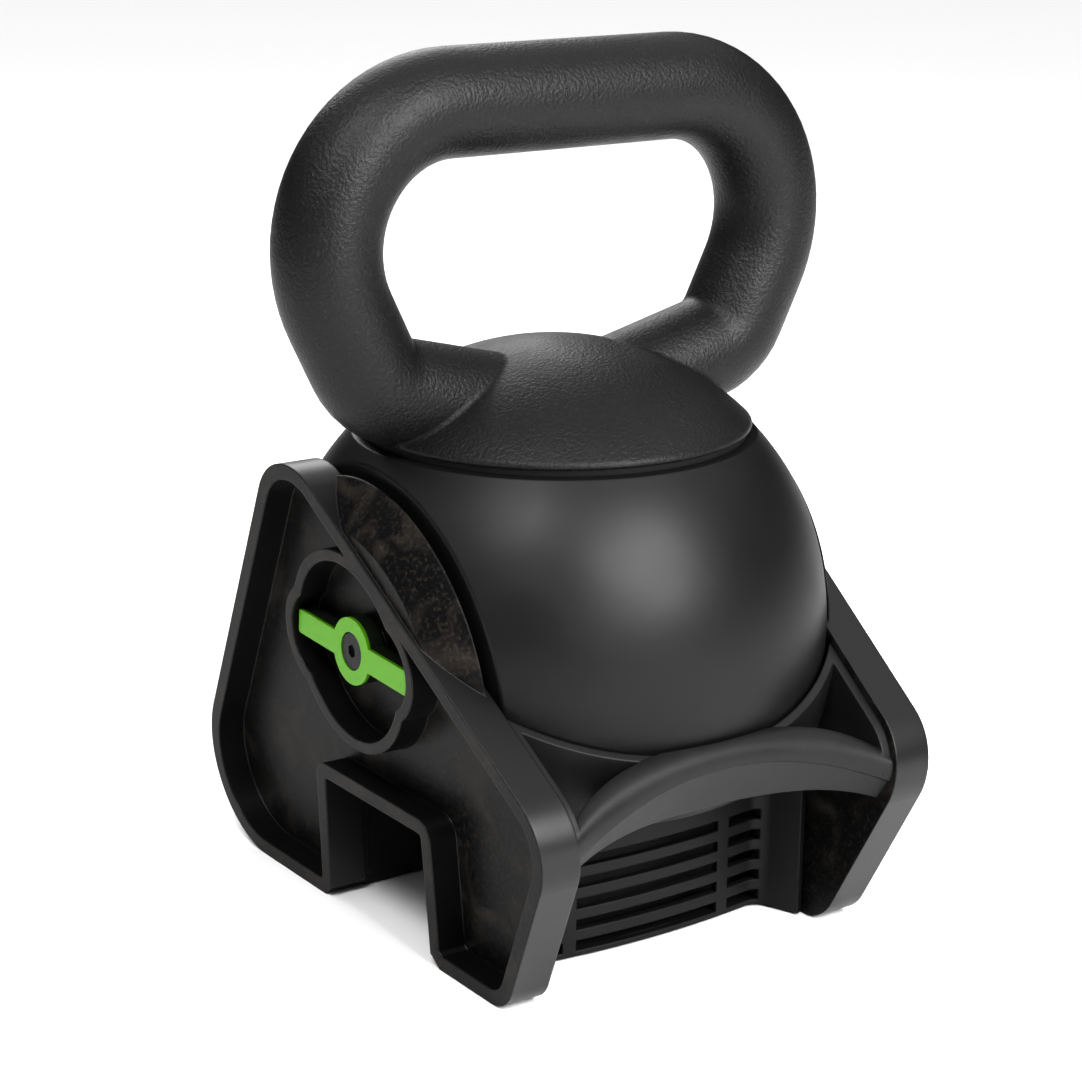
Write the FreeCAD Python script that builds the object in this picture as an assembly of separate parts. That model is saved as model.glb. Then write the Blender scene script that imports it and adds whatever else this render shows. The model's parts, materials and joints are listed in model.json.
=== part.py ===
"""Kettlebell standing in a moulded docking base, one solid for each separate piece.

Millimetres, +Z up. The handle runs along X and the base's long foot points to -Y (the front).
The origin is on the ground under the centre of the ball. The right-hand side (+X) is modelled,
and the left-hand side is its mirror image.
"""

import FreeCAD
import Part
import math
import os

Vector = FreeCAD.Vector

# --- Driving dimensions ------------------------------------------------------------------------
BALL_R = 95.0             # outside radius of the ball
BALL_Z = 100.5            # height of the ball's centre above the ground
BALL_BOTTOM_Z = 52.5      # the ball is cut flat here, so it also stands without its base
BALL_TOP_Z = 165.9        # top edge of the satin shell, under the cap
SHELL_WALL = 5.0
CAP_R = 96.4              # the cap is a little proud of the shell
CAP_BASE_Z = 168.3
TUBE_R = 17.9             # handle tube
HANDLE_Z = 278.6          # centre line of the grip
HANDLE_HALF = 88.5        # centre line of the uprights, from the middle
BOLT_R = 6.0              # M12 tie bolt
BOLT_TOP_Z = 186.0
WELL_R = 17.0             # well under the core that takes the bolt's head and washer
WELL_TOP_Z = 76.0
WASHER_T = 2.5

SEAM_X = 57.95            # inner face of a side panel at ground level, from the middle
LEAN = 0.10               # the panels lean out by this much for each millimetre of height
PANEL_T = 14.25           # side panel thickness, along X
POCKET_DEPTH = 10.4       # outer face to the floor of the panel's pocket
RIM_W = 5.5               # width of the rim wall round the panel
LIP_GAP = 1.8             # the panel's dome starts this far outside the seam
DOME_SINK = 1.5           # and stays this far below the panel's outer face
FLAT_GAP = 1.65           # seam to the flat side of the ball
BOWL_R = 96.3             # inside of the cradle's bowl
BOWL_WALL = 2.6
BOWL_FRONT_Z = 57.0       # the bowl's front edge stops here, behind the arch
DECK_Z = 47.5             # underside of the deck that the ball stands on
DECK_T = 3.5
DECK_FRONT_Y = -62.0
REAR_WALL_Y = 88.0        # the rear wall starts here, behind the rear slotted wall
FLANGE_T = 3.5
FLANGE_INSET = 2.5        # the cradle's edge sits this far inside the panel's edge
FLANGE_FOOT_Z = 62.0      # in front, the flanges end behind the ends of the arch
FLANGE_TOP_Z = 125.5      # the flanges and the bowl's horns stop here, behind the domes
FOOT_GAP = 0.8            # walls between the feet stop short of the ground
WALL_T = 3.0
TUNNEL_WALLS_Y = (-42.5, 31.6)      # front faces of the two cross walls beside the tunnel
FLOOR_T = 1.6             # thin floors behind the slotted walls
GRILLE_FLOOR_Y = (-57.0, -42.6)
REAR_FLOOR_Y = (34.0, 48.5)
SLOT_ROWS = 5
SLOT_LOW_Z, SLOT_PITCH, SLOT_H = 2.6, 7.5, 3.8
SLOT_SPANS_X = ((-48.5, -34.5), (-29.5, 29.5), (34.5, 48.5))

BOSS_R = 35.0             # outside of the latch boss
BOSS_WALL = 4.0
LOBE_R = 15.0             # the two round lobes that let the lever's ends swing
LOBE_REACH = 21.7         # latch axis to the centre of a lobe
LOBE_TURN = -3.5          # degrees, the tilt of the line through both lobes
LEVER_HALF = 34.4
LEVER_W = 8.4
LEVER_REST = 2.5          # degrees, the lever's tilt when released
LEVER_X = (74.4, 79.6)    # back and front of the black lever body
INLAY_FACE_X = 80.7
HUB_R = 11.5
LEVER_SCREW_R = 6.2       # head of the screw in the middle of the lever
SCREW_SEAT_X = 78.6
SPINDLE_R = 4.0
SQUARE_X = (74.0, 78.2)   # square end of the spindle, inside the lever
SQUARE_HALF = 2.75
KEY_X = (62.8, 65.3)      # the flat key, inside the ball
KEY_W, KEY_H = 11.0, 24.0
BUSH_R = 6.0
RUN = 0.05                # radial running clearance

FAR = 400.0               # longer than anything in the model

# Corners of the side panel's outline as (y, z, corner radius).
PANEL_OUTLINE = [
    (-115.0, 68.5, 22.0),
    (-80.8, 0.0, 15.0),
    (-41.5, 0.0, 0.0),
    (-36.3, 4.0, 0.0),
    (-37.0, 47.3, 1.5),
    (24.6, 47.3, 1.5),
    (28.5, 4.0, 0.0),
    (33.2, 0.0, 0.0),
    (132.8, 0.0, 33.8),
    (36.9, 169.3, 25.0),
]

# Corners of one half of the handle's centre line as (x, z, bend radius).
HANDLE_PATH = [
    (HANDLE_HALF, HANDLE_Z, 44.7),
    (HANDLE_HALF, 223.0, 46.5),
    (71.4, 188.4, 20.0),
]
LEG_END = (10.0, 173.0)


# --- Outlines ----------------------------------------------------------------------------------
def rounded_corner(before, corner, after, radius):
    """First tangent point, middle and second tangent point of the arc that rounds a corner."""
    to_before = (before - corner).normalize()
    to_after = (after - corner).normalize()
    half = to_before.getAngle(to_after) / 2
    reach = radius / math.tan(half)
    bisector = (to_before + to_after).normalize()
    centre = corner + bisector * (radius / math.sin(half))
    return corner + to_before * reach, centre - bisector * radius, corner + to_after * reach


def rounded_wire(points, radii, closed):
    """A wire of straight runs and tangent arcs through the corners."""
    count = len(points)
    edges = []
    last = None
    first = None
    for i, (point, radius) in enumerate(zip(points, radii)):
        is_end = not closed and i in (0, count - 1)
        if radius and not is_end:
            start, middle, end = rounded_corner(points[i - 1], point, points[(i + 1) % count], radius)
        else:
            start, middle, end = point, None, point
        if last is not None:
            edges.append(Part.LineSegment(last, start).toShape())
        if first is None:
            first = start
        if middle is not None:
            edges.append(Part.Arc(start, middle, end).toShape())
        last = end
    if closed:
        edges.append(Part.LineSegment(last, first).toShape())
    return Part.Wire(edges)


def yz_face(corners):
    """A flat face in the YZ plane from (y, z, corner radius) corners."""
    points = [Vector(0, y, z) for y, z, _ in corners]
    return Part.Face(rounded_wire(points, [r for _, _, r in corners], True))


def inset(face, distance):
    """The same face with its edge moved inwards."""
    return face.makeOffset2D(-distance, 0, False, False, True)


def along_x(face):
    """The face swept right across the model along X."""
    return face.translated(Vector(-FAR / 2, 0, 0)).extrude(Vector(FAR, 0, 0))


def lean_slab(inner, outer):
    """The space between two planes that lean out like the right-hand panel.

    inner and outer are distances out from the seam.
    """
    low, high = -50.0, 350.0
    corners = [(inner, low), (outer, low), (outer, high), (inner, high)]
    points = [Vector(SEAM_X + offset + LEAN * z, -FAR / 2, z) for offset, z in corners]
    return Part.Face(Part.makePolygon(points + points[:1])).extrude(Vector(0, FAR, 0))


def between_planes(offset):
    """The space between the two leaning side planes, each moved out from its seam by offset."""
    low, high = -50.0, 350.0
    near, far = SEAM_X + offset + LEAN * low, SEAM_X + offset + LEAN * high
    points = [Vector(x, -FAR / 2, z) for x, z in ((-near, low), (near, low), (far, high), (-far, high))]
    return Part.Face(Part.makePolygon(points + points[:1])).extrude(Vector(0, FAR, 0))


def box(x, y, z):
    """A box from three (low, high) pairs."""
    return Part.makeBox(x[1] - x[0], y[1] - y[0], z[1] - z[0], Vector(x[0], y[0], z[0]))


def x_cylinder(radius, x0, x1, y=0.0, z=BALL_Z):
    return Part.makeCylinder(radius, x1 - x0, Vector(x0, y, z), Vector(1, 0, 0))


def z_cylinder(radius, z0, z1, x=0.0, y=0.0):
    return Part.makeCylinder(radius, z1 - z0, Vector(x, y, z0))


def ball(radius):
    return Part.makeSphere(radius, Vector(0, 0, BALL_Z))


def half_space(z, keep_above):
    """Everything above or below a height."""
    return box((-FAR, FAR), (-FAR, FAR), (z, z + FAR) if keep_above else (z - FAR, z))


def mirrored(shape):
    return shape.mirror(Vector(0, 0, 0), Vector(1, 0, 0))


def fused(shapes):
    shape = shapes[0].multiFuse(shapes[1:])
    return shape.removeSplitter()


# --- The kettlebell ----------------------------------------------------------------------------
def handle():
    """Cast loop and domed cap, one casting, with a spigot that takes the tie bolt."""
    points = [Vector(x, 0, z) for x, z, _ in HANDLE_PATH]
    radii = [r for _, _, r in HANDLE_PATH]
    right = [*points, Vector(LEG_END[0], 0, LEG_END[1])]
    left = [Vector(-p.x, 0, p.z) for p in reversed(right)]
    path = rounded_wire(left + right, [0, *reversed(radii), *radii, 0], False)
    direction = left[1] - left[0]
    ring = Part.Wire(Part.makeCircle(TUBE_R, left[0], direction))
    loop = path.makePipeShell([ring], True, False)
    cap = ball(CAP_R).common(half_space(CAP_BASE_Z, True))
    cap = cap.makeFillet(1.2, [e for e in cap.Edges if e.BoundBox.ZMax < CAP_BASE_Z + 0.1])
    loop = loop.common(half_space(CAP_BASE_Z, True))
    spigot = z_cylinder(30.0, BALL_TOP_Z - 0.2, CAP_BASE_Z + 1)
    body = fused([cap, loop, spigot])
    return body.cut(z_cylinder(BOLT_R, BALL_TOP_Z - 1, BOLT_TOP_Z + 2))


def keyway(depth_x):
    """The keyhole cut in the ball's flat side: a round chamber with a neck that runs down."""
    chamber = x_cylinder(KEY_H / 2 + 1.5, depth_x, 75.0)
    neck_half = KEY_W / 2 + 1.0
    neck = box((depth_x, 75.0), (-neck_half, neck_half), (BALL_BOTTOM_Z - 5, BALL_Z))
    return chamber.fuse(neck)


def ball_shell():
    """Satin shell: a ball cut flat on both sides and below, open at the top."""
    outer = ball(BALL_R).common(between_planes(-FLAT_GAP))
    outer = outer.common(box((-FAR, FAR), (-FAR, FAR), (BALL_BOTTOM_Z, BALL_TOP_Z)))
    outer = outer.makeFillet(1.6, [e for e in outer.Edges if e.BoundBox.ZMax - e.BoundBox.ZMin > 20])
    inner = ball(BALL_R - SHELL_WALL).common(between_planes(-FLAT_GAP - SHELL_WALL))
    inner = inner.common(half_space(BALL_BOTTOM_Z + SHELL_WALL, True))
    shell = outer.cut(inner)
    shell = shell.cut(z_cylinder(WELL_R, BALL_BOTTOM_Z - 1, BALL_BOTTOM_Z + SHELL_WALL + 1))
    for cutter in (keyway(58.0), mirrored(keyway(58.0))):
        shell = shell.cut(cutter)
    return shell


def weight_core():
    """Cast-iron weight inside the shell, bored for the tie bolt."""
    gap = 0.2
    core = ball(BALL_R - SHELL_WALL - gap).common(between_planes(-FLAT_GAP - SHELL_WALL - gap))
    low, high = BALL_BOTTOM_Z + SHELL_WALL + gap, BALL_TOP_Z - gap
    core = core.common(box((-FAR, FAR), (-FAR, FAR), (low, high)))
    core = core.cut(z_cylinder(BOLT_R + 0.5, 0, FAR))
    return core.cut(z_cylinder(WELL_R, 0, WELL_TOP_Z))


def hexagon(across_flats, z0, z1):
    radius = across_flats / math.sqrt(3)
    points = [Vector(radius * math.cos(a), radius * math.sin(a), z0)
              for a in (math.radians(60 * i) for i in range(7))]
    return Part.Face(Part.makePolygon(points)).extrude(Vector(0, 0, z1 - z0))


def tie_bolt():
    """Long bolt from the bottom of the core up into the handle casting."""
    low, under_head = WELL_TOP_Z - 10.0, WELL_TOP_Z - WASHER_T
    return z_cylinder(BOLT_R, low, BOLT_TOP_Z).fuse(hexagon(19.0, low, under_head))


def tie_washer():
    """Thick washer between the bolt's head and the core."""
    return z_cylinder(15.0, WELL_TOP_Z - WASHER_T, WELL_TOP_Z).cut(z_cylinder(BOLT_R, 70, 80))


def bottom_plug():
    """Rubber plug that closes the bolt hole, flush with the ball's flat bottom."""
    return z_cylinder(WELL_R - 0.1, BALL_BOTTOM_Z, BALL_BOTTOM_Z + 4.5)


def neck_ring():
    """Rubber ring in the groove between shell and cap."""
    return z_cylinder(65.2, BALL_TOP_Z, CAP_BASE_Z).cut(z_cylinder(58.0, 0, FAR))


# --- The side panels ---------------------------------------------------------------------------
def boss(wall):
    """The round boss with its two lobes, grown by a wall thickness."""
    shape = x_cylinder(BOSS_R - BOSS_WALL + wall, -FAR / 2, FAR / 2)
    turn = math.radians(LOBE_TURN)
    for reach in (LOBE_REACH, -LOBE_REACH):
        y, z = reach * math.cos(turn), BALL_Z + reach * math.sin(turn)
        shape = shape.fuse(x_cylinder(LOBE_R + wall, -FAR / 2, FAR / 2, y, z))
    return shape


def screw_places():
    """Where the panel screws go, as (y, z): two behind the tunnel and two in front of it."""
    return [(y, z) for y in (-49.0, 46.0) for z in (12.0, 35.0)]


def panel_screw(y, z):
    """One self-tapping screw, square to the leaning panel, head on the cradle's flange."""
    outward = Vector(1, 0, -LEAN).normalize()
    seat = Vector(SEAM_X - FLANGE_T + LEAN * z, y, z)
    shank = Part.makeCylinder(1.5, FLANGE_T + 3.0, seat, outward)
    head = Part.makeCylinder(2.9, 1.6, seat - outward * 1.6, outward)
    socket = Part.makeCylinder(1.3, 1.0, seat - outward * 1.7, outward)
    return shank.fuse(head).cut(socket)


def panel_screws():
    return Part.makeCompound([panel_screw(y, z) for y, z in screw_places()])


def side_panel(face):
    """Right-hand side panel: rimmed pocket, latch boss, tunnel notch and the dome over the ball."""
    outer = PANEL_T
    body = along_x(face).common(lean_slab(0, outer))
    dome = ball(BALL_R + 0.2).common(lean_slab(LIP_GAP, outer - DOME_SINK))
    dome = dome.common(half_space(70.0, True))
    body = body.fuse(dome).removeSplitter()
    pocket = along_x(inset(face, RIM_W)).cut(boss(BOSS_WALL)).fuse(boss(0.0))
    body = body.cut(pocket.common(lean_slab(outer - POCKET_DEPTH, outer + 30)))
    pad = x_cylinder(10.0, 55.0, 73.0).common(lean_slab(0, outer))
    body = body.fuse(pad).cut(x_cylinder(BUSH_R, 50, 90))
    for y, z in screw_places():
        body = body.cut(panel_screw(y, z))
    return body


# --- The latches -------------------------------------------------------------------------------
def lever_plan():
    """The outline of the lever's bar, tilted to its released position."""
    half_w, tip = LEVER_W / 2, LEVER_HALF
    corners = [(-tip, -half_w), (tip, -half_w), (tip, half_w), (-tip, half_w)]
    bar = yz_face([(y, BALL_Z + z, 1.2) for y, z in corners])
    bar.rotate(Vector(0, 0, BALL_Z), Vector(1, 0, 0), LEVER_REST)
    return bar


def lever_slab(x0, x1):
    bar = lever_plan().translated(Vector(x0, 0, 0)).extrude(Vector(x1 - x0, 0, 0))
    return bar.fuse(x_cylinder(HUB_R, x0, x1)).removeSplitter()


def square_bar(half):
    return box(SQUARE_X, (-half, half), (BALL_Z - half, BALL_Z + half))


def screw_recess():
    """Room for the lever screw's head, from its seat outwards."""
    return x_cylinder(LEVER_SCREW_R + 0.3, SCREW_SEAT_X, 90)


def latch_lever():
    """Black lever body with a square hole for the spindle and a seat for the screw head."""
    body = lever_slab(*LEVER_X)
    body = body.cut(square_bar(SQUARE_HALF + RUN))
    return body.cut(screw_recess()).cut(x_cylinder(2.1, 70, 90))


def lever_inlay():
    """Green cover moulded on the face of the lever."""
    return lever_slab(LEVER_X[1], INLAY_FACE_X).cut(screw_recess())


def lever_screw():
    """Screw that holds the lever on the spindle, with a hexagon socket."""
    head = x_cylinder(LEVER_SCREW_R, SCREW_SEAT_X, INLAY_FACE_X - 0.3)
    shank = x_cylinder(1.95, 69.0, SCREW_SEAT_X)
    socket = hexagon(4.0, 0, 3.0)
    socket.rotate(Vector(0, 0, 0), Vector(0, 1, 0), 90)
    return head.fuse(shank).cut(socket.translated(Vector(79.2, 0, BALL_Z)))


def latch_key():
    """Steel spindle with a square shank for the lever and a flat key that locks in the ball."""
    key = box(KEY_X, (-KEY_W / 2, KEY_W / 2), (BALL_Z - KEY_H / 2, BALL_Z + KEY_H / 2))
    shaft = x_cylinder(SPINDLE_R, KEY_X[1], LEVER_X[0])
    whole = fused([key, shaft, square_bar(SQUARE_HALF)])
    return whole.cut(x_cylinder(2.0, 68.5, 90))


def spindle_bush():
    """Flanged bush in the panel that the spindle turns in."""
    flange = x_cylinder(8.5, 73.0, 73.8)
    sleeve = x_cylinder(BUSH_R, 68.4, 73.8)
    return fused([flange, sleeve]).cut(x_cylinder(SPINDLE_R + RUN, 60, 80))


def wave_washer():
    """Friction washer between bush and lever."""
    return x_cylinder(7.5, 73.85, 74.35).cut(x_cylinder(SPINDLE_R + 0.2, 60, 80))


# --- The cradle --------------------------------------------------------------------------------
def arch_section(t):
    """Section through the front arch, t = 0 in the middle and 1 at the panels."""
    x = (SEAM_X + 8.5) * t
    back = Vector(x, -91.5 - 4.0 * t ** 2 - 8.5 * t ** 4, 82.5 - 6.0 * t ** 2 - 10.2 * t ** 4)
    crest = Vector(x, -99.0 - 8.0 * t ** 2, 74.5 - 16.8 * t ** 2)
    brow = (back + crest) * 0.5 + Vector(0, -4.0, 4.0)
    face_top = crest + Vector(0, 1.0, -0.6)
    foot = Vector(x, -89.5 - 13.0 * t ** 2, 58.0 - 8.0 * t ** 4)
    inner_foot = foot + Vector(0, 5.0, 1.0)
    inner_back = back + Vector(0, 3.5, -5.0)
    curve = Part.BezierCurve()
    curve.setPoles([back, brow, crest])
    edges = [curve.toShape()]
    corners = [crest, face_top, foot, inner_foot, inner_back, back]
    edges += [Part.LineSegment(a, b).toShape() for a, b in zip(corners, corners[1:])]
    return Part.Wire(edges)


def front_arch():
    """Curved band across the front: a rounded brow over a crescent-shaped face."""
    steps = 4
    sections = [arch_section(i / steps) for i in range(-steps, steps + 1)]
    return Part.makeLoft(sections, True, False)


def rear_opening():
    """The arched opening cut low in the rear wall."""
    arch = Part.makeCylinder(150.0, 80.0, Vector(0, 60, 40.0 - 150.0), Vector(0, 1, 0))
    return arch.common(half_space(46.0, False)).common(half_space(-10.0, True))


def cradle(face):
    """Centre of the base: bowl, deck, flanges beside the panels, front arch and rear wall."""
    profile = inset(face, FLANGE_INSET)
    body = along_x(profile).common(half_space(FLANGE_TOP_Z, False))
    flange = body.common(lean_slab(-FLANGE_T, 0))
    flange = flange.cut(box((0, FAR), (-FAR, -56), (-1, FLANGE_FOOT_Z)))
    bowl = ball(BOWL_R + BOWL_WALL).common(body).common(half_space(DECK_Z, True))
    bowl = bowl.cut(box((-FAR, FAR), (-FAR, DECK_FRONT_Y), (-1, BOWL_FRONT_Z)))
    deck = box((-FAR, FAR), (DECK_FRONT_Y, 100), (DECK_Z, DECK_Z + DECK_T)).common(body)
    rear = body.cut(along_x(inset(face, FLANGE_INSET + WALL_T)))
    rear = rear.common(box((-FAR, FAR), (REAR_WALL_Y, FAR), (-1, FAR)))
    rear = rear.cut(rear_opening())
    walls = [box((-FAR, FAR), (y, y + WALL_T), (FOOT_GAP, DECK_Z + 1)) for y in TUNNEL_WALLS_Y]
    floor = box((-FAR, FAR), REAR_FLOOR_Y, (FOOT_GAP, FOOT_GAP + FLOOR_T))
    parts = [bowl, deck, front_arch(), rear, floor, *walls]
    inside = between_planes(0)
    whole = fused([part.common(inside) for part in parts] + [flange, mirrored(flange)])
    whole = whole.cut(ball(BOWL_R).common(half_space(DECK_Z + DECK_T, True)))
    for y, z in screw_places():
        screw = panel_screw(y, z)
        whole = whole.cut(screw).cut(mirrored(screw))
    return whole


def mirror_x(corner):
    return (-corner[0], *corner[1:])


def grille_plan():
    """Plan of a slotted wall: a shallow bow with both ends curled out to the panels."""
    end, bend, middle = (57.4, -71.0, 0), (50.5, -53.5, 9.0), (0, -60.5, 300.0)
    front = [mirror_x(end), mirror_x(bend), middle, bend, end]
    points = [Vector(x, y, 0) for x, y, _ in front]
    wire = rounded_wire(points, [r for _, _, r in front], False)
    return wire.makeOffset2D(2.6, 0, True, True, False)


def slots():
    """The grille's slots, five rows between its upright bars."""
    for row in range(SLOT_ROWS):
        z = SLOT_LOW_Z + SLOT_PITCH * row
        for span in SLOT_SPANS_X:
            yield box(span, (-80, -40), (z, z + SLOT_H))


def grille():
    """Slotted wall that reaches the planes of the side panels, with a thin floor behind its slots."""
    wall = grille_plan().extrude(Vector(0, 0, DECK_Z - FOOT_GAP - 0.3)).translated(Vector(0, 0, FOOT_GAP))
    for slot in slots():
        wall = wall.cut(slot)
    wall = fused([wall, box((-50, 50), GRILLE_FLOOR_Y, (FOOT_GAP, FOOT_GAP + FLOOR_T))])
    return wall.common(between_planes(-0.1))


def front_grille():
    """Slotted wall under the front arch."""
    return grille()


def rear_grille():
    """The same wall behind the tunnel, its ends cut short at the cradle's flanges."""
    wall = grille().mirror(Vector(0, 0, 0), Vector(0, 1, 0)).translated(Vector(0, 6.0, 0))
    return wall.common(between_planes(-FLANGE_T))


def ball_pads():
    """Four rubber discs on the deck that the ball stands on."""
    top = BALL_BOTTOM_Z
    places = [(sx * 38, sy * 52) for sx in (-1, 1) for sy in (-1, 1)]
    return Part.makeCompound([z_cylinder(10.0, DECK_Z + DECK_T, top, x, y) for x, y in places])


def build():
    face = yz_face(PANEL_OUTLINE)
    nodes = {
        "handle_casting": handle(),
        "ball_shell": ball_shell(),
        "weight_core": weight_core(),
        "tie_bolt": tie_bolt(),
        "tie_washer": tie_washer(),
        "bottom_plug": bottom_plug(),
        "neck_ring": neck_ring(),
        "cradle": cradle(face),
        "front_grille": front_grille(),
        "rear_grille": rear_grille(),
        "ball_pads": ball_pads(),
    }
    handed = {
        "side_panel": side_panel(face),
        "panel_screws": panel_screws(),
        "latch_lever": latch_lever(),
        "lever_inlay": lever_inlay(),
        "lever_screw": lever_screw(),
        "latch_key": latch_key(),
        "spindle_bush": spindle_bush(),
        "wave_washer": wave_washer(),
    }
    for name, shape in handed.items():
        nodes[name + "_right"] = shape
        nodes[name + "_left"] = mirrored(shape)
    return nodes


def main():
    os.makedirs("parts", exist_ok=True)
    for name, shape in build().items():
        shape.exportStep("parts/" + name + ".step")
        box_ = shape.BoundBox
        print(f"{name:22s} solids {len(shape.Solids)} valid {shape.isValid()} volume {shape.Volume:12.1f}"
              f"  x {box_.XMin:7.2f} {box_.XMax:7.2f}  y {box_.YMin:7.2f} {box_.YMax:7.2f}"
              f"  z {box_.ZMin:7.2f} {box_.ZMax:7.2f}")


main()
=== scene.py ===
"""Looks for the kettlebell in its docking base: materials, floor, lights and camera."""

import json
import math

import bpy
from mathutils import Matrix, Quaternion, Vector

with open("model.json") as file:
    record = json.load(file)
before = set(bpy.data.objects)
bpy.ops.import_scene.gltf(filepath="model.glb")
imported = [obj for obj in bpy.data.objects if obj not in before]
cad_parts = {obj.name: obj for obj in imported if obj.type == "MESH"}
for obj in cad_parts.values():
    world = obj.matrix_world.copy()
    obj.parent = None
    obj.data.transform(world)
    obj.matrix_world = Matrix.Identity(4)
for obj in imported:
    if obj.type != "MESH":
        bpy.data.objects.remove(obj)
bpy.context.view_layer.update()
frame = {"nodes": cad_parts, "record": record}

# --- Camera, in metres ---------------------------------------------------------------------------
CAMERA_PLACE = Vector((-0.5308, -0.7594, 0.3971))
CAMERA_FORWARD = Vector((0.5464, 0.7891, -0.2807))
CAMERA_ROLL_DEG = 0.7     # takes up part of the handle's lean in the photograph
LENS_MM = 93.63
SENSOR_MM = 36.0

# --- Stage and lights, in metres and watts -------------------------------------------------------
BALL_CENTRE = Vector((0.0, 0.0, 0.1005))
GRIP_AIM = Vector((0.0, 0.0, 0.27))  # inside the grip bar
FLOOR_HALF = 6.0
FLOOR_WHITE = 0.95
FLOOR_ROUGH = 0.9
FLOOR_SPECULAR = 0.1
WORLD_SPAN = (0.35, 0.65)  # Z of the world's Generated coordinate over which it brightens
WORLD_DARK = 0.02
WORLD_BRIGHT = 1.3
VIEW_GAMMA = 0.78         # deeper shadows, white stays white
LIGHTS = (                # name, place, target, side, watts
    ("key", (0.16, -1.12, 0.76), BALL_CENTRE, 0.8, 36.0),
    ("left_soft", (-0.7, -0.5, 1.3), GRIP_AIM, 0.4, 13.0),
    ("back_fill", (0.5, 1.3, 0.9), BALL_CENTRE, 0.8, 9.0),
)

# --- Surfaces; colours are linear RGB ------------------------------------------------------------
SPECULAR = 0.30           # under the usual half, for deep blacks
SIDE_SPECULAR = 0.5       # on panel faces square to X, such as the outside of the rim
FACE_SPECULAR = 0.12      # on panel faces that look along X, dulled by dust
FACING_SPAN = (0.4, 0.8)  # |X| of the normal where a face starts to count, and fully counts
BEVEL_SAMPLES = 6
PAINT_EDGE = 0.0028       # radii of the softened edges, in metres
SHELL_EDGE = 0.0008
PLASTIC_EDGE = 0.0009
CRISP_EDGE = 0.0003
CAST_EDGE = 0.001

PAINT_BLACK = (0.0075, 0.0075, 0.008)
# painted glints: paler flecks that stand in for the sparkle of the textured coat
PAINT_GLINT = (0.022, 0.021, 0.020)
PAINT_ROUGH = (0.36, 0.46)
SHELL_BLACK = (0.0065, 0.0065, 0.007)
SHELL_MARK = (0.009, 0.0088, 0.0085)
SHELL_ROUGH = (0.40, 0.47)
PANEL_BLACK = (0.0045, 0.0045, 0.0047)
PANEL_DUST = (0.095, 0.080, 0.064)
PANEL_DUST_AMOUNT = 0.26
PANEL_ROUGH = (0.36, 0.60)
CRADLE_BLACK = (0.010, 0.010, 0.0105)
# painted shade: the grille is darker than the cradle to stand in for the shadow under the arch
GRILLE_SHADE_BLACK = (0.005, 0.005, 0.0052)
# painted shade: a dark green-black that stands in for the shaded sides of the green lever
LEVER_SHADE_BLACK = (0.008, 0.012, 0.006)
RUBBER_BLACK = (0.008, 0.008, 0.008)
NYLON_CREAM = (0.45, 0.44, 0.41)
PATCH_GAIN = 1.35         # how much brighter the patches of clean plastic are
PLASTIC_ROUGH_RISE = 0.08
GREEN = (0.095, 0.30, 0.002)
GREEN_SCUFF = (0.065, 0.19, 0.004)
GREEN_SCUFF_AMOUNT = 0.5
GREEN_ROUGH = (0.32, 0.5)
STEEL = (0.62, 0.63, 0.65)
DARK_STEEL = (0.035, 0.035, 0.037)
MOTTLE_GAIN = 0.75        # how much duller the mottle of metal is
METAL_ROUGH_RISE = 0.12
RAW_IRON_DARK = (0.09, 0.09, 0.095)
RAW_IRON_PALE = (0.17, 0.16, 0.15)
RAW_IRON_ROUGH = 0.75
RAW_IRON_METALLIC = 0.6


# --- Node helpers --------------------------------------------------------------------------------
def new_material(name):
    """A material with the usual specular; returns it, its node tree and its shader."""
    material = bpy.data.materials.new(name)
    material.use_nodes = True
    tree = material.node_tree
    shader = tree.nodes["Principled BSDF"]
    shader.inputs["Specular IOR Level"].default_value = SPECULAR
    return material, tree, shader


def node(tree, kind, **inputs):
    """A node with its named input values set."""
    made = tree.nodes.new(kind)
    for name, value in inputs.items():
        made.inputs[name].default_value = value
    return made


def math_node(tree, operation, *operands):
    """A maths node; each operand is a socket or a number."""
    made = tree.nodes.new("ShaderNodeMath")
    made.operation = operation
    for socket, value in zip(made.inputs, operands):
        if isinstance(value, (int, float)):
            socket.default_value = value
        else:
            tree.links.new(value, socket)
    return made.outputs[0]


def noise(tree, scale, detail=3.0, distortion=0.0):
    """Noise in the object's own coordinates; scale is in features per metre."""
    place = tree.nodes.new("ShaderNodeTexCoord")
    made = node(tree, "ShaderNodeTexNoise", Scale=scale, Detail=detail, Distortion=distortion)
    tree.links.new(place.outputs["Object"], made.inputs["Vector"])
    return made.outputs["Fac"]


def stretch(tree, value, low, high, to_low=0.0, to_high=1.0):
    """Maps low..high to to_low..to_high, clamped."""
    made = node(tree, "ShaderNodeMapRange",
                **{"From Min": low, "From Max": high, "To Min": to_low, "To Max": to_high})
    tree.links.new(value, made.inputs["Value"])
    return made.outputs["Result"]


def mix_colour(tree, factor, first, second):
    """Mixes two RGB triples by a socket."""
    made = tree.nodes.new("ShaderNodeMix")
    made.data_type = "RGBA"
    tree.links.new(factor, made.inputs["Factor"])
    for name, colour in (("A", first), ("B", second)):
        socket = [s for s in made.inputs if s.name == name and s.type == "RGBA"][0]
        socket.default_value = (*colour, 1.0)
    return [s for s in made.outputs if s.type == "RGBA"][0]


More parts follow.
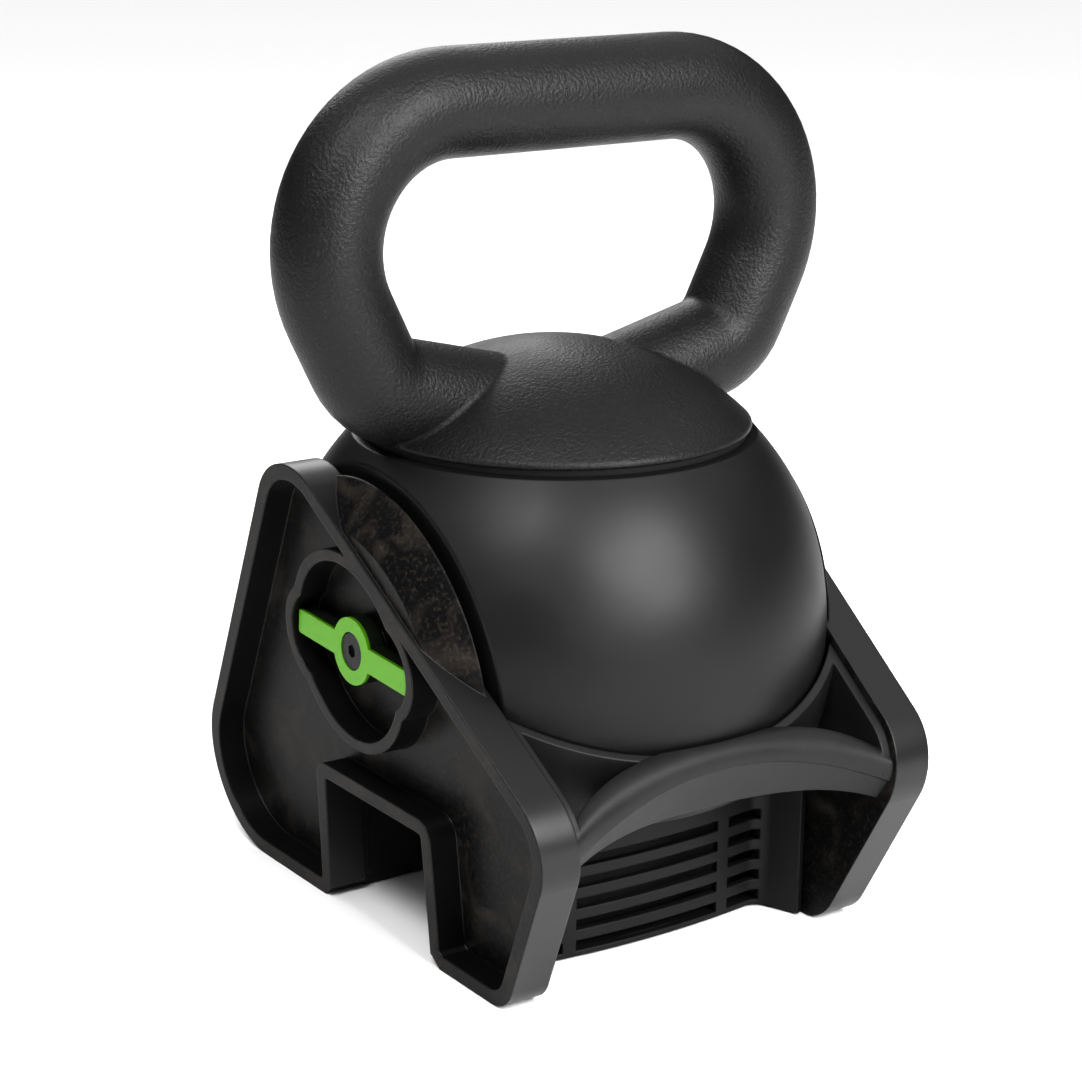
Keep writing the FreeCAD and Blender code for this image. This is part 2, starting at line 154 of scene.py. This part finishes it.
def bump(tree, shader, layers, edge_radius):
    """Softens edges and adds bump; each layer is (height socket, strength, depth in metres)."""
    edge = node(tree, "ShaderNodeBevel", Radius=edge_radius)
    edge.samples = BEVEL_SAMPLES
    normal = edge.outputs["Normal"]
    for height, strength, depth in layers:
        made = node(tree, "ShaderNodeBump", Strength=strength, Distance=depth)
        tree.links.new(height, made.inputs["Height"])
        tree.links.new(normal, made.inputs["Normal"])
        normal = made.outputs["Normal"]
    tree.links.new(normal, shader.inputs["Normal"])


def facing_x(tree):
    """1 on faces that look along X, either way, falling to 0 on faces square to it."""
    geometry = tree.nodes.new("ShaderNodeNewGeometry")
    split = tree.nodes.new("ShaderNodeSeparateXYZ")
    tree.links.new(geometry.outputs["True Normal"], split.inputs[0])
    return stretch(tree, math_node(tree, "ABSOLUTE", split.outputs["X"]), *FACING_SPAN)


# --- Materials -----------------------------------------------------------------------------------
def coated_iron():
    """Black powder coat with a coarse orange-peel texture and a few paler flecks, which are painted
    glints on the texture.
    """
    material, tree, shader = new_material("coated_iron")
    # painted glints: fine paler flecks mixed into the black coat
    glints = stretch(tree, noise(tree, 900.0, detail=2.0), 0.62, 0.75)
    colour = mix_colour(tree, glints, PAINT_BLACK, PAINT_GLINT)
    rough = stretch(tree, noise(tree, 60.0), 0.3, 0.7, *PAINT_ROUGH)
    tree.links.new(colour, shader.inputs["Base Color"])
    tree.links.new(rough, shader.inputs["Roughness"])
    peel = noise(tree, 850.0, detail=3.0)
    grain = noise(tree, 2300.0, detail=2.0)
    bump(tree, shader, [(peel, 0.55, 0.0006), (grain, 0.40, 0.0002)], PAINT_EDGE)
    return material


def satin_shell():
    """Smooth satin black with a very fine grain and faint handling marks."""
    material, tree, shader = new_material("satin_shell")
    handling = noise(tree, 25.0, detail=5.0, distortion=1.5)
    colour = mix_colour(tree, stretch(tree, handling, 0.55, 0.8), SHELL_BLACK, SHELL_MARK)
    rough = stretch(tree, handling, 0.3, 0.8, *SHELL_ROUGH)
    tree.links.new(colour, shader.inputs["Base Color"])
    tree.links.new(rough, shader.inputs["Roughness"])
    bump(tree, shader, [(noise(tree, 2500.0, detail=2.0), 0.12, 0.0001)], SHELL_EDGE)
    return material


def panel_plastic():
    """Moulded black plastic: brownish rubbed-in dust on faces that look along X, none square to it."""
    material, tree, shader = new_material("panel_plastic")
    flat_face = facing_x(tree)
    swirl_noise = noise(tree, 55.0, detail=12.0, distortion=0.8)
    streak_noise = noise(tree, 700.0, detail=8.0, distortion=0.4)
    swirl = stretch(tree, swirl_noise, 0.50, 0.70, to_high=PANEL_DUST_AMOUNT)
    streak = stretch(tree, streak_noise, 0.50, 0.75, to_high=PANEL_DUST_AMOUNT)
    dust = math_node(tree, "MULTIPLY", math_node(tree, "ADD", swirl, streak), flat_face)
    specular = stretch(tree, flat_face, 0.0, 1.0, SIDE_SPECULAR, FACE_SPECULAR)
    tree.links.new(mix_colour(tree, dust, PANEL_BLACK, PANEL_DUST), shader.inputs["Base Color"])
    tree.links.new(specular, shader.inputs["Specular IOR Level"])
    tree.links.new(stretch(tree, dust, 0.0, 0.6, *PANEL_ROUGH), shader.inputs["Roughness"])
    grain = noise(tree, 1800.0, detail=2.0)
    ripple = noise(tree, 90.0, detail=4.0)
    bump(tree, shader, [(grain, 0.18, 0.00012), (ripple, 0.08, 0.0003)], PLASTIC_EDGE)
    return material


def clean_plastic(name, base, rough):
    """Satin moulded plastic or rubber with a faint grain and slightly brighter patches."""
    material, tree, shader = new_material(name)
    patches = stretch(tree, noise(tree, 45.0, detail=5.0, distortion=1.0), 0.35, 0.75)
    brighter = tuple(PATCH_GAIN * channel for channel in base)
    colour = mix_colour(tree, patches, base, brighter)
    tree.links.new(colour, shader.inputs["Base Color"])
    roughness = stretch(tree, patches, 0.0, 1.0, rough, rough + PLASTIC_ROUGH_RISE)
    tree.links.new(roughness, shader.inputs["Roughness"])
    bump(tree, shader, [(noise(tree, 1600.0, detail=2.0), 0.12, 0.0001)], PLASTIC_EDGE)
    return material


def green_plastic():
    """Bright yellow-green with small scuffs."""
    material, tree, shader = new_material("green_plastic")
    scuff_noise = noise(tree, 260.0, detail=6.0, distortion=1.0)
    scuffs = stretch(tree, scuff_noise, 0.62, 0.8, to_high=GREEN_SCUFF_AMOUNT)
    tree.links.new(mix_colour(tree, scuffs, GREEN, GREEN_SCUFF), shader.inputs["Base Color"])
    rough = stretch(tree, scuffs, 0.0, GREEN_SCUFF_AMOUNT, *GREEN_ROUGH)
    tree.links.new(rough, shader.inputs["Roughness"])
    bump(tree, shader, [(noise(tree, 900.0, detail=2.0), 0.08, 0.0001)], CRISP_EDGE)
    return material


def metal(name, colour, rough):
    """Plated or oxidised steel with a fine mottle."""
    material, tree, shader = new_material(name)
    grain = noise(tree, 1200.0, detail=3.0)
    duller = tuple(MOTTLE_GAIN * channel for channel in colour)
    mottled = mix_colour(tree, stretch(tree, grain, 0.4, 0.7), colour, duller)
    tree.links.new(mottled, shader.inputs["Base Color"])
    roughness = stretch(tree, grain, 0.3, 0.7, rough, rough + METAL_ROUGH_RISE)
    tree.links.new(roughness, shader.inputs["Roughness"])
    shader.inputs["Metallic"].default_value = 1.0
    bump(tree, shader, [(grain, 0.1, 0.00008)], CRISP_EDGE)
    return material


def core_iron():
    """Raw sand-cast iron."""
    material, tree, shader = new_material("core_iron")
    grain = noise(tree, 350.0, detail=6.0)
    colour = mix_colour(tree, grain, RAW_IRON_DARK, RAW_IRON_PALE)
    tree.links.new(colour, shader.inputs["Base Color"])
    shader.inputs["Roughness"].default_value = RAW_IRON_ROUGH
    shader.inputs["Metallic"].default_value = RAW_IRON_METALLIC
    bump(tree, shader, [(grain, 0.5, 0.0006)], CAST_EDGE)
    return material


def make_materials():
    """The material for each slot name in the record."""
    return {
        "coated_iron": coated_iron(),
        "satin_shell": satin_shell(),
        "core_iron": core_iron(),
        "steel": metal("steel", STEEL, rough=0.3),
        "dark_steel": metal("dark_steel", DARK_STEEL, rough=0.35),
        "rubber": clean_plastic("rubber", RUBBER_BLACK, rough=0.7),
        "cradle_plastic": clean_plastic("cradle_plastic", CRADLE_BLACK, rough=0.4),
        # the grille's deeper black is painted shade from the arch above it
        "grille_plastic": clean_plastic("grille_plastic", GRILLE_SHADE_BLACK, rough=0.5),
        "panel_plastic": panel_plastic(),
        # the lever body's dark green-black is painted shade on the lever's sides
        "lever_plastic": clean_plastic("lever_plastic", LEVER_SHADE_BLACK, rough=0.45),
        "green_plastic": green_plastic(),
        "bush_nylon": clean_plastic("bush_nylon", NYLON_CREAM, rough=0.5),
    }


def dress_nodes():
    """Gives every CAD node its material."""
    materials = make_materials()
    for entry in frame["record"]["subparts"]:
        part = frame["nodes"][entry["node"]]
        material = materials[entry["material_slot"]]
        if part.material_slots:
            for material_slot in part.material_slots:
                material_slot.material = material
        else:
            part.data.materials.append(material)


# --- Stage, lights and camera --------------------------------------------------------------------
def white_floor():
    """A pale matt floor."""
    mesh = bpy.data.meshes.new("floor")
    signs = ((-1, -1), (1, -1), (1, 1), (-1, 1))
    mesh.from_pydata([(x * FLOOR_HALF, y * FLOOR_HALF, 0.0) for x, y in signs], [], [(0, 1, 2, 3)])
    floor = bpy.data.objects.new("floor", mesh)
    bpy.context.scene.collection.objects.link(floor)
    material, _, shader = new_material("floor_paper")
    shader.inputs["Base Color"].default_value = (FLOOR_WHITE, FLOOR_WHITE, FLOOR_WHITE, 1.0)
    shader.inputs["Roughness"].default_value = FLOOR_ROUGH
    shader.inputs["Specular IOR Level"].default_value = FLOOR_SPECULAR
    mesh.materials.append(material)


def aimed(name, data, place, forward, roll_deg=0.0):
    """Puts a lamp or camera in the scene at a place, facing along forward; returns its object."""
    made = bpy.data.objects.new(name, data)
    made.location = place
    roll = Quaternion((0.0, 0.0, 1.0), math.radians(roll_deg))
    made.rotation_euler = (forward.to_track_quat("-Z", "Y") @ roll).to_euler()
    bpy.context.scene.collection.objects.link(made)
    return made


def light_scene():
    """A world that is bright above and dark below, three square lamps, and the view's contrast."""
    world = bpy.data.worlds.new("studio")
    world.use_nodes = True
    tree = world.node_tree
    place = tree.nodes.new("ShaderNodeTexCoord")
    split = tree.nodes.new("ShaderNodeSeparateXYZ")
    tree.links.new(place.outputs["Generated"], split.inputs[0])
    background = tree.nodes["Background"]
    background.inputs["Color"].default_value = (1.0, 1.0, 1.0, 1.0)
    glow = stretch(tree, split.outputs["Z"], *WORLD_SPAN, WORLD_DARK, WORLD_BRIGHT)
    tree.links.new(glow, background.inputs["Strength"])
    bpy.context.scene.world = world
    bpy.context.scene.view_settings.view_transform = "Standard"
    bpy.context.scene.view_settings.gamma = VIEW_GAMMA
    for name, spot, target, side, watts in LIGHTS:
        lamp = bpy.data.lights.new(name, "AREA")
        lamp.shape = "RECTANGLE"
        lamp.size = lamp.size_y = side
        lamp.energy = watts
        aimed(name, lamp, spot, target - Vector(spot))


def place_camera():
    """The camera at the photograph's viewing angle."""
    data = bpy.data.cameras.new("camera")
    data.sensor_fit = "HORIZONTAL"
    data.sensor_width = SENSOR_MM
    data.lens = LENS_MM
    camera = aimed("camera", data, CAMERA_PLACE, CAMERA_FORWARD, CAMERA_ROLL_DEG)
    bpy.context.scene.camera = camera


dress_nodes()
white_floor()
light_scene()
place_camera()
